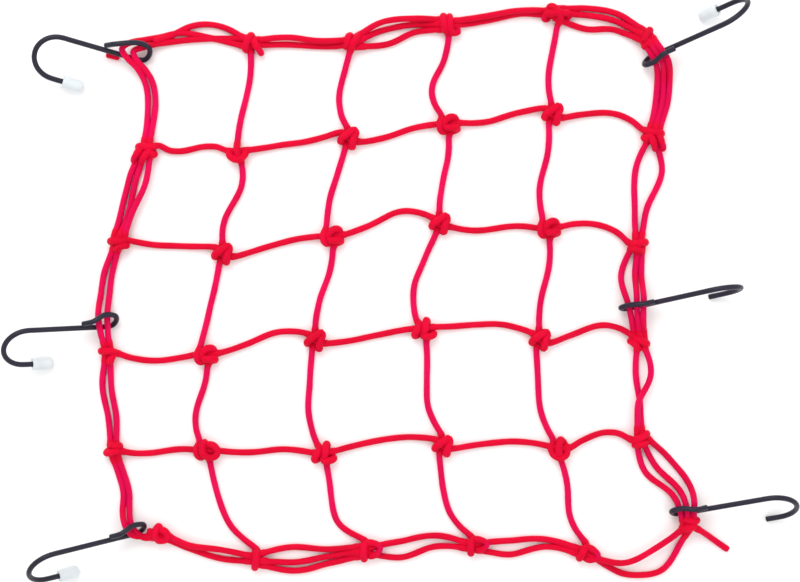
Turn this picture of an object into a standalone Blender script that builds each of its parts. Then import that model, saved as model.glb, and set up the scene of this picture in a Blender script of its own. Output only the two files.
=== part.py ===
"""A luggage net of elastic cord with six coated wire hooks, lying on a flat surface.

X runs across the net to the right, Y runs up it, and Z is up from the surface it lies on.
The origin is on the surface, under the middle of the net. The tables below are in
millimetres, and the model is built in metres.
"""

import math

import bmesh
import bpy
from mathutils import Vector

MM = 0.001

# Cord
CORD_RADIUS = 2.5
FLOOR_GAP = 0.1  # the knots rest on the surface and hold the cords just clear of it
FLOOR_HEIGHT = CORD_RADIUS + FLOOR_GAP  # middle of a cord that lies low
LANE = 5.2  # from one border strand to the next, where they lie side by side
STRAND_RISE = 5.2  # a border strand that passes over the one beside it
FIELD_STEPS = (2, 2, 2)  # pieces of a field cord before, between and after its two bows
BORDER_STEPS = (2, 1, 2)

# Knots: two turns of cord side by side, with a groove between them
KNOT_HEIGHT = 5.0  # middle of a knot, whose underside is pressed flat on the surface
KNOT_REACH = 19.0  # a cord starts to climb this far from the middle of a knot
KNOT_BURY = 1.2  # a border cord ends this far short of the middle of its knot
PORT_BURY = 0.6  # a field cord ends this share of the way out to where it leaves its knot
KNOT_PROFILE = (
    # place along the knot's axis, radius there
    (-8.8, 3.6),
    (-4.4, 7.2),
    (0.0, 5.8),
    (4.4, 7.2),
    (8.8, 3.6),
)
KNOT_AXIS = {"A": 0.0, "B": -45.0, "across": 0.0, "down": 90.0}  # degrees from +X

# Hooks: wire in a flat S, with an eye closed round the border strands and an open J
WIRE_RADIUS = 2.0
SEAT_GAP = 0.3  # left between two pieces that touch
EYE_HEIGHT = 11.0  # the wire over the strands, above the shank under them
EYE_CLOSE = 4.5  # the cut end of the wire stands this far from the shank
EYE_START = 1.2  # height of the shank's middle at the eye
EYE_NARROWS = 6.0  # the wire turns down to the shank this far from its cut end
EYE_NARROW = (0.95, 0.5)  # there, the shares of the eye's height and of its side that are left
EYE_BEND = (
    # run out along the shank, share of the way from the shank to the wire on top
    (10.0, 1.0),
    (1.8, 0.88),
    (-0.2, 0.5),
    (1.8, 0.1),
    (6.5, 0.0),
)
EYE_STEPS = (3, 2, 2, 2, 2, 2)
J_WIDTH = 32.0
J_DEPTH = 17.0
CAP_RADIUS = 4.65
CAP_LENGTH = 15.5
CAP_ROUND = 1.86  # rounding of its end
CAP_BORE = WIRE_RADIUS + SEAT_GAP
CAP_GRIP = 8.0  # length of wire inside a cap

STRAND_OVER_WIRE = WIRE_RADIUS + 2 * SEAT_GAP + CORD_RADIUS  # from a shank's middle
WIRE_CLEAR = 5.5  # a strand is at its full height this near to the wire under it
WIRE_REACH = 26.0  # and back on the surface this far from it
EYE_RUN = 22.0  # length of shank that the strands pass over

# x and y of each knot, left to right in six rows from the top. The first corner has a hook
# and no knot.
KNOTS = (
    (None, (-112.5, 186.5), (-34.0, 186.5), (35.5, 200.0), (117.0, 208.5), (184.0, 190.5)),
    ((-190.5, 106.5), (-121.5, 103.5), (-37.5, 115.5), (37.5, 125.0), (115.5, 133.5), (190.0, 117.5)),
    ((-211.5, 37.5), (-132.0, 29.0), (-49.5, 41.0), (31.0, 51.5), (113.0, 47.0), (178.5, 36.0)),
    ((-219.0, -45.5), (-144.0, -48.0), (-62.5, -36.0), (18.0, -29.0), (106.0, -35.5), (180.0, -37.0)),
    ((-215.0, -120.5), (-144.5, -119.5), (-57.0, -122.0), (33.0, -115.0), (120.0, -119.5), (180.0, -109.5)),
    ((-180.5, -182.0), (-108.0, -201.5), (-26.5, -195.0), (53.5, -191.5), (137.0, -196.0), (216.5, -176.5)),
)
FIELD_LAY = ("ABAB", "BABA", "ABAB", "BABB")  # how each of the inner knots is turned

# Where a cord leaves a knot, from the knot's middle: in and out across, in and out down
PORTS = {
    "A": ((-8.5, 0.0), (7.5, 1.5), (-4.5, 6.0), (3.0, -7.5)),
    "B": ((-6.5, 3.5), (6.5, -3.0), (-3.0, 7.0), (-1.5, -7.0)),
}
EDGE_PORTS = {"left": (6.0, -1.5), "right": (-4.0, 6.0), "top": (1.5, -6.5), "bottom": (-5.0, 5.0)}

# Bows of each field cord between two knots, at a third and two thirds of the way, to the
# left of the way it runs: across the net for the rows, down it for the columns
ROW_BOWS = (
    ((-2.0, 5.5), (1.5, 1.5), (-4.0, 1.5), (-1.5, 3.5), (5.5, 10.0)),
    ((0.0, 1.5), (-1.0, 2.0), (4.5, 13.0), (-5.0, 0.5), (8.0, 8.0)),
    ((-6.0, -4.0), (3.0, 10.0), (-3.5, 0.0), (5.0, 8.5), (3.5, 12.0)),
    ((-2.5, 1.0), (-1.5, 2.5), (5.0, 7.5), (1.5, 5.0), (5.0, 8.0)),
)
COLUMN_BOWS = (
    ((3.0, -1.0), (6.5, -4.0), (-3.0, -5.0), (-3.0, -10.5), (-6.5, -8.0)),
    ((-7.0, -10.5), (-4.5, -8.0), (1.5, -3.5), (-7.0, -10.0), (-6.0, -11.5)),
    ((-2.0, -14.5), (1.0, -2.5), (-7.5, -13.0), (-2.5, -7.5), (-8.5, -9.5)),
    ((-1.0, -5.0), (-3.0, -9.5), (2.0, -3.0), (-7.0, -9.5), (0.5, -4.0)),
)

# Border strands. start, end: row and column of the knots; lane: place in the knot at the
# start and at the end; bow: to the left at one third and two thirds; over: 1 if it passes
# over its neighbour
BORDER = (
    # start, end, lane, bow, bow, lane, over
    ((0, 1), (0, 2), 0.5, 3.4, 1.0, 0.5, 1),
    ((0, 1), (0, 2), -0.5, -1.2, -2.5, -0.5, 0),
    ((0, 2), (0, 3), 1.0, 10.8, 8.8, 1.0, 1),
    ((0, 2), (0, 3), 0.0, 5.4, 5.0, 0.0, 0),
    ((0, 2), (0, 3), -1.0, -5.5, -0.7, -1.0, 0),
    ((0, 3), (0, 4), 0.5, 2.8, 4.4, 0.5, 1),
    ((0, 3), (0, 4), -0.5, 0.0, 2.6, -0.5, 0),
    ((0, 4), (0, 5), 1.0, 10.3, 11.8, 1.0, 0),
    ((0, 4), (0, 5), 0.0, 5.0, 6.3, 0.0, 0),
    ((0, 4), (0, 5), -1.0, -5.4, -0.2, -1.0, 0),
    ((0, 5), (1, 5), -1.0, 6.2, 4.5, -1.0, 0),
    ((0, 5), (1, 5), 0.0, 10.7, 9.0, 0.0, 0),
    ((0, 5), (1, 5), 1.0, 15.2, 13.5, 1.0, 0),
    ((1, 5), (2, 5), -0.5, -9.1, -5.8, -0.5, 0),
    ((1, 5), (2, 5), 0.5, 10.7, 3.9, 0.5, 0),
    ((2, 5), (3, 5), -1.0, -12.5, -8.0, -1.0, 0),
    ((2, 5), (3, 5), 0.0, -2.2, -2.7, 0.0, 0),
    ((2, 5), (3, 5), 1.0, 2.4, 1.8, 1.0, 0),
    ((3, 5), (4, 5), 0.5, 8.2, -1.5, -0.5, 1),
    ((3, 5), (4, 5), -0.5, -2.6, 0.5, 0.5, 0),
    ((4, 5), (5, 5), -1.0, -8.9, 0.8, -1.0, 0),
    ((4, 5), (5, 5), 0.0, 0.2, 7.2, 0.0, 0),
    ((4, 5), (5, 5), 1.0, 11.8, 15.4, 1.0, 0),
    ((5, 0), (5, 1), 0.5, -2.4, 0.9, 0.5, 1),
    ((5, 0), (5, 1), -0.5, -5.6, -6.5, -0.5, 0),
    ((5, 1), (5, 2), 1.0, 6.7, 3.0, 1.0, 0),
    ((5, 1), (5, 2), 0.0, -4.9, -2.3, 0.0, 0),
    ((5, 1), (5, 2), -1.0, -11.2, -7.6, -1.0, 0),
    ((5, 2), (5, 3), 0.5, 5.5, 8.8, 0.5, 0),
    ((5, 2), (5, 3), -0.5, -6.5, 0.5, -0.5, 0),
    ((5, 3), (5, 4), 0.5, 5.2, 7.8, 0.5, 0),
    ((5, 3), (5, 4), -0.5, -5.2, 2.2, -0.5, 0),
    ((5, 4), (5, 5), -0.5, -14.8, -9.6, 0.5, 1),
    ((5, 4), (5, 5), 0.5, -24.0, -27.6, -0.5, 0),
    ((1, 0), (2, 0), -1.0, -6.1, -5.1, -1.0, 0),
    ((1, 0), (2, 0), 0.0, -0.9, 0.7, 0.0, 0),
    ((1, 0), (2, 0), 1.0, 7.4, 4.2, 1.0, 1),
    ((2, 0), (3, 0), -0.5, -9.1, -9.0, -0.5, 0),
    ((2, 0), (3, 0), 0.5, -3.2, -2.6, 0.5, 0),
    ((3, 0), (4, 0), -0.5, -6.3, -3.0, -0.5, 0),
    ((3, 0), (4, 0), 0.5, 0.4, 2.9, 0.5, 0),
)

# Strands that turn a corner in a hook's eye, and two cut ends. start, end: knots, or None
# at a cut end; lane: place in the start knot and in the end knot; points: x, y on the way
CORNER_STRANDS = (
    # start, lane, points, end, lane
    ((0, 1), 1.0, ((-165, 194), (-181, 190.5), (-191, 188.5), (-201, 186), (-207.5, 180.5),
                   (-204, 174), (-197, 167), (-191.5, 157), (-189.5, 141)),
     (1, 0), -0.5),
    ((0, 1), -1.0, ((-150, 189.5), (-170, 187.5), (-184, 185), (-192.5, 182.5), (-199.5, 179),
                    (-197, 172.5), (-190, 164.5), (-185.5, 155), (-184, 141)),
     (1, 0), 0.5),
    ((0, 1), 0.0, ((-128, 196.5), (-143, 200.5), (-157, 199), (-172, 192), (-184, 187.5)),
     (0, 1), None),
    ((4, 0), -0.5, ((-208.5, -150), (-208, -165), (-205, -175), (-199.5, -182.5)), (5, 0), -0.5),
    ((4, 0), 0.5, ((-204, -150), (-203.5, -161), (-202, -171), (-197.6, -180.3), (-190.8, -185.2)),
     (5, 0), 0.1),
    ((5, 5), 0.5, ((226, -180), (236, -187), (246, -194)), (5, 5), None),
)

# Hooks. x, y: the inner end of the eye; heading: the way the shank runs out, in degrees
# from +X; reach: from the eye's inner end to the bend; bend_side and eye_side: how far the
# J lies to the left and the eye to the right; eye_length: from its inner end to the cut end
# of the wire; tip: the straight wire past the J; cap: whether the tip has one
HOOKS = (
    # name, x, y, heading, reach, bend_side, eye_side, eye_length, tip, cap
    ("top_left", -191.0, 172.4, 165.5, 80.4, 30.5, 11.0, 32.4, 16.0, True),
    ("mid_left", -215.2, -26.6, 182.4, 81.3, 25.5, 9.0, 24.8, 14.0, True),
    ("bottom_left", -194.3, -181.5, 190.3, 86.1, 20.0, 7.5, 26.1, 16.0, True),
    ("top_right", 186.0, 175.1, 20.9, 83.3, 14.5, 5.4, 25.8, 20.0, True),
    ("mid_right", 169.3, -13.7, 13.8, 85.6, -6.2, -2.7, 25.6, 13.0, False),
    ("bottom_right", 206.9, -168.3, 13.8, 88.0, -19.7, -5.4, 26.0, 10.0, False),
)
SHANK_STEPS = 5
J_STEPS = 10

SHARP_ANGLE = math.radians(65)

# Base colours
CORD_COLOUR = (0.80, 0.01, 0.05, 1.0)
WIRE_COLOUR = (0.02, 0.02, 0.03, 1.0)
CAP_COLOUR = (0.85, 0.89, 0.88, 1.0)


def clear_scene():
    for thing in list(bpy.data.objects):
        bpy.data.objects.remove(thing)


def new_collection(name, hidden=False):
    collection = bpy.data.collections.new(name)
    bpy.context.scene.collection.children.link(collection)
    collection.hide_render = hidden
    return collection


def material(name, colour, roughness, metallic=0.0):
    made = bpy.data.materials.new(name)
    made.use_nodes = True
    shader = made.node_tree.nodes["Principled BSDF"]
    shader.inputs["Base Color"].default_value = colour
    shader.inputs["Roughness"].default_value = roughness
    shader.inputs["Metallic"].default_value = metallic
    return made


def ease(value):
    """Rises smoothly from 0 to 1 as the value goes from 0 to 1."""
    value = min(max(value, 0.0), 1.0)
    return value * value * (3 - 2 * value)


def smooth_path(points, steps):
    """Points on one smooth curve through the given points, each stretch in its own steps."""
    padded = [2 * points[0] - points[1], *points, 2 * points[-1] - points[-2]]
    path = []
    for stretch, count in enumerate(steps):
        before, start, end, after = padded[stretch : stretch + 4]
        for step in range(count):
            t = step / count
            path.append(
                0.5
                * (
                    2 * start
                    + (end - before) * t
                    + (2 * before - 5 * start + 4 * end - after) * t**2
                    + (3 * start - before - 3 * end + after) * t**3
                )
            )
    return [*path, points[-1]]


def tube(name, path, radii, resolution, tilt):
    """A closed mesh tube: a curve through the path with a round bevel and filled caps."""
    curve = bpy.data.curves.new(name, "CURVE")
    curve.dimensions = "3D"
    curve.bevel_depth = MM
    curve.bevel_resolution = resolution
    curve.use_fill_caps = True
    curve.twist_mode = "Z_UP"
    spline = curve.splines.new("POLY")
    spline.points.add(len(path) - 1)
    for point, place, radius in zip(spline.points, path, radii):
        point.co = (*(place * MM), 1.0)
        point.radius = radius
        point.tilt = tilt
    swept = bpy.data.objects.new(name, curve)
    bpy.context.scene.collection.objects.link(swept)
    evaluated = swept.evaluated_get(bpy.context.evaluated_depsgraph_get())
    mesh = bpy.data.meshes.new_from_object(evaluated)
    bpy.data.objects.remove(swept)
    welded = bmesh.new()
    welded.from_mesh(mesh)
    bmesh.ops.remove_doubles(welded, verts=welded.verts, dist=0.001 * MM)
    welded.to_mesh(mesh)
    welded.free()
    mesh.shade_smooth()
    mesh.set_sharp_from_angle(angle=SHARP_ANGLE)
    mesh.name = name
    return bpy.data.objects.new(name, mesh)


def knot_place(address):
    return Vector((*KNOTS[address[0]][address[1]], 0.0))


def knot_lay(row, column):
    """How a knot is turned: a letter for a field knot, or the way the border runs."""
    if row in (0, 5):
        return "across"
    if column in (0, 5):
        return "down"
    return FIELD_LAY[row - 1][column - 1]


def shank_line(hook):
    """A hook's shank: its start, the way it runs seen from above, and its slope in radians.

    The eye stands over the border strands on one side of the shank and the J hangs on the
    other, so the hook leans on its tip.
    """
    _, x, y, heading, reach, bend_side, _, _, tip, cap = hook
    turn = math.radians(heading)
    drop = math.sqrt(J_WIDTH**2 - bend_side**2) + (CAP_RADIUS if cap else WIRE_RADIUS)
    tip_run = reach - J_DEPTH - tip
    if cap:
        tip_run -= CAP_LENGTH - CAP_ROUND - CAP_GRIP
    slope = math.atan2(drop, tip_run) - math.asin(EYE_START / math.hypot(drop, tip_run))
    return Vector((x, y, 0.0)), Vector((math.cos(turn), math.sin(turn), 0.0)), slope


def hook_lift(place):
    """How far the shanks of the hooks raise what lies over them at a place."""
    flat = Vector((place.x, place.y, 0.0))
    lift = 0.0
    for hook in HOOKS:
        start, along, slope = shank_line(hook)
        run = min(max((flat - start).dot(along), 0.0), EYE_RUN)
        away = (flat - start - along * run).length
        near = ease((WIRE_REACH - away) / (WIRE_REACH - WIRE_CLEAR))
        over = EYE_START + run * math.tan(slope) + STRAND_OVER_WIRE / math.cos(slope)
        lift = max(lift, (over - FLOOR_HEIGHT) * near)
    return lift


def knot_centre(row, column):
    """The middle of a knot, at its height."""
    place = Vector((*KNOTS[row][column], 0.0))
    place.z = max(KNOT_HEIGHT, FLOOR_HEIGHT + hook_lift(place))
    return place


def cord_height(place):
    """Height of a cord's middle: on the surface, higher near a knot and over a hook's wire."""
    height = FLOOR_HEIGHT + hook_lift(place)
    for row, places in enumerate(KNOTS):
        for column, spot in enumerate(places):
            if spot:
                knot = knot_centre(row, column)
                away = (place.xy - knot.xy).length
                climb = (knot.z - FLOOR_HEIGHT) * ease(1 - away / KNOT_REACH)
                height = max(height, FLOOR_HEIGHT + climb)
    return height


def with_crossings(path):
    """The path with points added, where there is room, on both sides of each shank it crosses."""
    fuller = [path[0]]
    for place, following in zip(path, path[1:]):
        for hook in HOOKS:
            start, along, _ = shank_line(hook)
            aside = Vector((-along.y, along.x, 0.0))
            before, after = (place - start).dot(aside), (following - start).dot(aside)
            if before * after >= 0:
                continue
            met = place.lerp(following, before / (before - after))
            step = (following - place).normalized() * WIRE_CLEAR
            over = 0 < (met - start).dot(along) < EYE_RUN
            if over and (met - place).length > 2 * WIRE_CLEAR:
                fuller.append(met - step)
            if over and (met - following).length > 2 * WIRE_CLEAR:
                fuller.append(met + step)
        fuller.append(following)
    return fuller


def lifted(path, over):
    """The path at its height, with a strand that passes over another raised in between."""
    raised = []
    for place in path:
        from_end = min((place - path[0]).length, (place - path[-1]).length)
        extra = over * STRAND_RISE * ease(from_end / KNOT_REACH)
        raised.append(Vector((place.x, place.y, cord_height(place) + extra)))
    return raised


def bowed(start, end, bows):
    """Two points between start and end, off the straight line to its left."""
    way = (end - start).normalized()
    left = Vector((-way.y, way.x, 0.0))
    first, second = bows
    return [
        start.lerp(end, 1 / 3) + left * first,
        start.lerp(end, 2 / 3) + left * second,
    ]


def port(address, kind):
    """Where a field cord leaves a knot: kind 0 and 1 across, 2 and 3 down."""
    row, column = address
    lay = knot_lay(row, column)
    if lay in PORTS:
        offset = PORTS[lay][kind]
    else:
        side = ("right", "left", "bottom", "top")[kind]
        offset = EDGE_PORTS[side]
    return knot_place(address) + Vector((*offset, 0.0)) * PORT_BURY


def field_strand(start, end, bows, kinds):
    """A field cord from one knot to the next, with both ends inside the knots."""
    leave = port(start, kinds[0])
    arrive = port(end, kinds[1])
    middle = bowed(knot_place(start), knot_place(end), bows)
    return lifted(smooth_path([leave, *middle, arrive], FIELD_STEPS), 0)


def border_strand(start, end, lane_start, first, second, lane_end, over):
    """One strand of the border from knot to knot."""
    begin, finish = knot_place(start), knot_place(end)
    way = (finish - begin).normalized()
    left = Vector((-way.y, way.x, 0.0))
    points = [
        begin + way * KNOT_BURY + left * lane_start * LANE,
        *bowed(begin, finish, (first, second)),
        finish - way * KNOT_BURY + left * lane_end * LANE,
    ]
    return lifted(with_crossings(smooth_path(points, BORDER_STEPS)), over)


def corner_strand(start, lane_start, points, end, lane_end):
    """A strand that turns in a hook's eye, or runs on to a cut end."""
    route = [Vector((*point, 0.0)) for point in points]
    routes = [(knot_place(start), route[0], lane_start)]
    if lane_end is not None:
        routes.append((knot_place(end), route[-1], lane_end))
    ends = []
    for side, (centre, doorway, lane) in enumerate(routes):
        way = (doorway - centre).normalized()
        left = Vector((-way.y, way.x, 0.0)) * (1 - 2 * side)
        ends.append(centre + way * KNOT_BURY + left * lane * LANE)
    points = [ends[0], *route, *ends[1:]]
    return lifted(with_crossings(points), 0)


def strands():
    """The path of every stretch of cord between two knots."""
    paths = []
    for row, bows in enumerate(ROW_BOWS, start=1):
        for column, bow in enumerate(bows):
            paths.append(field_strand((row, column), (row, column + 1), bow, (1, 0)))
    for column, bows in enumerate(COLUMN_BOWS, start=1):
        for row, bow in enumerate(bows):
            paths.append(field_strand((row, column), (row + 1, column), bow, (3, 2)))
    paths += [border_strand(*row) for row in BORDER]
    paths += [corner_strand(*row) for row in CORNER_STRANDS]
    return paths


def knot_body(row, column):
    """A knot as two ridged turns round the cords that it ties, flat under its ridges."""
    turn = math.radians(KNOT_AXIS[knot_lay(row, column)])
    axis = Vector((math.cos(turn), math.sin(turn), 0.0))
    centre = knot_centre(row, column)
    path = [centre + axis * along for along, _ in KNOT_PROFILE]
    radii = [radius for _, radius in KNOT_PROFILE]
    body = tube(f"knot_{row}_{column}", path, radii, 1, 0.0)
    for vertex in body.data.vertices:
        vertex.co.z = max(vertex.co.z, 0.0)
    return body


def build_net(parts, cutters, finish):
    """The knots and all the strands between them, joined into one body."""
    joined = []
    for row, places in enumerate(KNOTS):
        joined += [knot_body(row, column) for column, spot in enumerate(places) if spot]
    for number, path in enumerate(strands()):
        radii = [CORD_RADIUS] * len(path)
        joined.append(tube(f"strand_{number}", path, radii, 1, math.radians(30)))
    net = joined.pop(0)
    net.name = "net"
    parts.objects.link(net)
    for body in joined:
        body.hide_render = True
        body.display_type = "WIRE"
        cutters.objects.link(body)
    union = net.modifiers.new("knots and strands", "BOOLEAN")
    union.operation = "UNION"
    union.operand_type = "COLLECTION"
    union.collection = cutters
    net.data.materials.append(finish)


def hook_path(hook):
    """The middle of a hook's wire, from the cut end at its eye to its tip."""
    _, _, _, _, reach, bend_side, eye_side, eye_length, tip, _ = hook
    start, ahead, slope = shank_line(hook)
    left = Vector((-ahead.y, ahead.x, 0.0))
    up = Vector((0.0, 0.0, 1.0))
    out = ahead * math.cos(slope) + up * math.sin(slope)
    above = up * math.cos(slope) - ahead * math.sin(slope)
    drop = math.sqrt(J_WIDTH**2 - bend_side**2)
    bend_way = (left * bend_side - above * drop) / J_WIDTH
    eye_way = above * EYE_HEIGHT - left * eye_side

    def shank(run):
        return start + up * EYE_START + out * run

    height_left, side_left = EYE_NARROW
    narrow_way = above * EYE_HEIGHT * height_left - left * eye_side * side_left
    eye = [
        shank(eye_length) + eye_way.normalized() * EYE_CLOSE,
        shank(eye_length - EYE_NARROWS) + narrow_way,
        *[shank(run) + eye_way * share for run, share in EYE_BEND],
    ]
    path = smooth_path(eye, EYE_STEPS)
    bend_run = reach - J_DEPTH
    eye_run = EYE_BEND[-1][0]
    for step in range(1, SHANK_STEPS):
        path.append(shank(eye_run + (bend_run - eye_run) * step / SHANK_STEPS))
    middle = shank(bend_run) + bend_way * (J_WIDTH / 2)
    for step in range(J_STEPS + 1):
        turn = math.pi * step / J_STEPS
        across = -math.cos(turn) * J_WIDTH / 2
        path.append(middle + bend_way * across + out * math.sin(turn) * J_DEPTH)
    path.append(path[-1] - out * tip)
    return path


def build_hook(hook, parts, finish):
    path = hook_path(hook)
    radii = [WIRE_RADIUS] * len(path)
    body = tube(f"hook_{hook[0]}", path, radii, 2, math.radians(22.5))
    body.data.materials.append(finish)
    parts.objects.link(body)
    return body, path


def build_cap(name, tip, before, parts, finish):
    """A cap over a hook's tip: a turned cup with a round end and a blind bore."""
    way = (tip - before).normalized()
    floor = CAP_GRIP + SEAT_GAP
    profile = [
        (0.0, floor),
        (CAP_BORE, floor),
        (CAP_BORE, 0.0),
        (CAP_RADIUS, 0.0),
        (CAP_RADIUS, CAP_LENGTH - CAP_ROUND),
        (CAP_RADIUS - CAP_ROUND, CAP_LENGTH),
        (0.0, CAP_LENGTH),
    ]
    mesh = bpy.data.meshes.new(name)
    outline = bmesh.new()
    corners = [outline.verts.new((across * MM, 0.0, along * MM)) for across, along in profile]
    for first, second in zip(corners, corners[1:]):
        outline.edges.new((first, second))
    outline.to_mesh(mesh)
    outline.free()
    cap = bpy.data.objects.new(name, mesh)
    turned = cap.modifiers.new("turned", "SCREW")
    turned.steps = 12
    turned.render_steps = 12
    turned.use_merge_vertices = True
    turned.merge_threshold = 0.00001
    turned.use_normal_calculate = True
    cap.location = (tip - way * CAP_GRIP) * MM
    cap.rotation_mode = "QUATERNION"
    cap.rotation_quaternion = way.to_track_quat("Z", "Y")
    cap.data.materials.append(finish)
    parts.objects.link(cap)
    return cap


def settle(bodies):
    """Lowers a hook and its cap by the hair that is left between their lowest point and the surface."""
    scene = bpy.context.evaluated_depsgraph_get()
    lowest = math.inf
    for body in bodies:
        shape = body.evaluated_get(scene)
        lowest = min(lowest, *((shape.matrix_world @ v.co).z for v in shape.data.vertices))
    for body in bodies:
        body.location.z -= lowest


def main():
    clear_scene()
    parts = new_collection("luggage net")
    cutters = new_collection("knots and strands", hidden=True)
    cord = material("red cord", CORD_COLOUR, 0.55)
    wire = material("dark wire coating", WIRE_COLOUR, 0.35)
    soft = material("white cap", CAP_COLOUR, 0.4)
    build_net(parts, cutters, cord)
    for hook in HOOKS:
        body, path = build_hook(hook, parts, wire)
        bodies = [body]
        if hook[-1]:
            bodies.append(build_cap(f"cap_{hook[0]}", path[-1], path[-2], parts, soft))
        settle(bodies)


main()
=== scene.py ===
"""The looks of a luggage net: red elastic cord tied in a net, with six coated wire hooks.

X runs across the net to the right, Y runs up it, and Z is up from the surface it lies on.
The tables are in millimetres, and the meshes are made in metres. Every mesh is worked out
from a path: a smooth curve through a few points, with a round section carried along it.
"""

import math

import bpy
import numpy as np
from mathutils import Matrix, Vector


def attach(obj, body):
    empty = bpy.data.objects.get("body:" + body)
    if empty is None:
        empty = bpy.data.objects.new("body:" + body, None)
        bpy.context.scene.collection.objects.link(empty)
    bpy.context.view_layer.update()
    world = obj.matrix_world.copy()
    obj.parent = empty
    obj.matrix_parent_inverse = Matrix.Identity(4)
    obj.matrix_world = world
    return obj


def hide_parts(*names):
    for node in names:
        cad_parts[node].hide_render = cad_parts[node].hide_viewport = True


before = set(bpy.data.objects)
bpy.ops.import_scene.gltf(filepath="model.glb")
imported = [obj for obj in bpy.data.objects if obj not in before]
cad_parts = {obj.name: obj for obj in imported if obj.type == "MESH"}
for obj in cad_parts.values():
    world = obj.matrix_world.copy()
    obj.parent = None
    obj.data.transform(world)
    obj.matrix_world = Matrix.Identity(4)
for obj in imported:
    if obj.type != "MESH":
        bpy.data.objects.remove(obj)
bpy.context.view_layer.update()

MM = 0.001

# Curves and tubes
CURVE_STEPS = 16  # places worked out on each stretch of a smooth curve
NEARLY_UPRIGHT = 0.1  # a path whose way, seen from above, is shorter than this runs upright
POLE_OUT = 0.04  # share of the radius from an end's last ring to its last point

# Cord
CORDS = 4  # cords that run across the field, and as many that run down it
LAST = CORDS + 1  # row and column of the far border
CORD_RADIUS = 2.35
CORD_SIDES = 18
CORD_STEP = 1.3  # length of cord from one ring of points to the next
CORD_WOBBLE = 0.22  # how far a cord strays from its drawn path
WANDER_LENGTHS = (4.0, 7.0, 13.0)  # the waves in which it strays
WANDER_UP = 0.3  # share of that which goes up and down
CORD_SWELL = 0.03  # share by which its radius varies
SWELL_LENGTHS = (3.0, 8.0)  # the waves in which that varies
WAVE_START = 6.3  # a wave starts anywhere in about one full turn
WANDER_SEED = 11
BEND_REACH = 7.0  # length over which a cord's bends are rounded between the knots
BELL_REACH = 3  # times that length, where the bell curve of the rounding is cut off
FLOOR_HEIGHT = 2.55  # middle of a cord that lies low
LANE = 3.4  # from one border strand to the next in a knot
STRAND_RISE = 4.6  # a border strand that passes over the one beside it
STACK_RISE = 1.8  # the middle one of three border strands, in a knot
KNOT_HEIGHT = 5.4  # middle of the cords that a knot ties
KNOT_REACH = 19.0  # a cord starts to climb this far from the middle of a knot
KNOT_SIZE = 9.5  # from a knot's middle to where the cord's swelling in it ends
KNOT_EDGE = 2.0  # length over which it swells
KNOT_SWELL = 0.19  # share by which the cord fattens in a knot, where it is slack
KNOT_PAINTED_LIGHT_LOSS = 0.6  # share of the painted pinker light of the cords that run down that a knot loses

# Each row is a smaller ring at an end of a tube, in shares of the radius: how far out it
# lies, and its own radius
CORD_END = ((0.25, 0.95), (0.45, 0.75), (0.55, 0.4))
WIRE_END = ((0.05, 0.93), (0.08, 0.6))

# Hooks. The eye and the J are as in the part
WIRE_RADIUS = 2.0
WIRE_SIDES = 20
WIRE_STEP = 0.9  # length of wire from one ring of points to the next
EYE_HEIGHT = 11.0
EYE_CLOSE = 4.5  # from the shank to the cut end of the wire
EYE_START = 1.2  # height of the shank at the eye's inner end
EYE_NARROWS = 6.0  # the eye starts to narrow this far from the cut end
EYE_NARROW = (0.95, 0.5)  # shares of its height and of its side that it still has there
EYE_BEND = (
    # out along the shank, share of the way up the eye
    (10.0, 1.0),
    (1.8, 0.88),
    (-0.2, 0.5),
    (1.8, 0.1),
    (6.5, 0.0),
)
SHANK_SHARES = (0.3, 0.55, 0.8, 0.93)  # places on the shank, as shares of the way to the J
J_WIDTH = 32.0
J_DEPTH = 17.0
J_STEPS = 12

# Where strands pass over a shank
STRAND_OVER_WIRE = 5.1  # from the middle of the wire to the middle of a strand
WIRE_CLEAR = 5.5  # a strand this near a shank, seen from above, is at its full height
WIRE_REACH = 26.0  # and one this far away lies on the surface
EYE_RUN = 22.0  # length of shank that strands pass over

# Soft caps
CAP_RADIUS = 4.65
CAP_LENGTH = 15.5
CAP_ROUND = 1.86  # from a cap's outer end to where it rests, as in the part
CAP_GRIP = 8.0  # length of wire in a cap
CAP_SIDES = 48
BORE_GAP = 0.15  # from the wire's side to the bore's
BORE_PAST = 0.3  # from the wire's tip to the end of the bore
BORE_END = 0.5  # radius of a ring in the bore's flat end, as a share of the bore's
LIP_ROUND = 0.4
LIP_STEPS = 4
LIP_SHARE = 0.98  # share of the wall's thickness that the lip's round spans
CAP_TAPER = 0.04  # share by which a cap narrows over its length
CAP_SHARES = (0.2, 0.45, 0.7)  # places on its side
END_ROUND = 2.4
END_STEPS = 8
END_FLAT = 0.9  # radius of the last ring of its round end

# x and y of each knot, left to right in six rows from the top
KNOTS = (
    (None, (-112.5, 186.5), (-34.0, 186.5), (35.5, 200.0), (117.0, 208.5), (184.0, 190.5)),
    ((-190.5, 106.5), (-121.5, 103.5), (-37.5, 115.5), (37.5, 125.0), (115.5, 133.5), (190.0, 117.5)),
    ((-211.5, 37.5), (-132.0, 29.0), (-49.5, 41.0), (31.0, 51.5), (113.0, 47.0), (178.5, 36.0)),
    ((-219.0, -45.5), (-144.0, -48.0), (-62.5, -36.0), (18.0, -29.0), (106.0, -35.5), (180.0, -37.0)),
    ((-215.0, -120.5), (-144.5, -119.5), (-57.0, -122.0), (33.0, -115.0), (120.0, -119.5), (180.0, -109.5)),
    ((-180.5, -182.0), (-108.0, -201.5), (-26.5, -195.0), (53.5, -191.5), (137.0, -196.0), (216.5, -176.5)),
)

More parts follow.
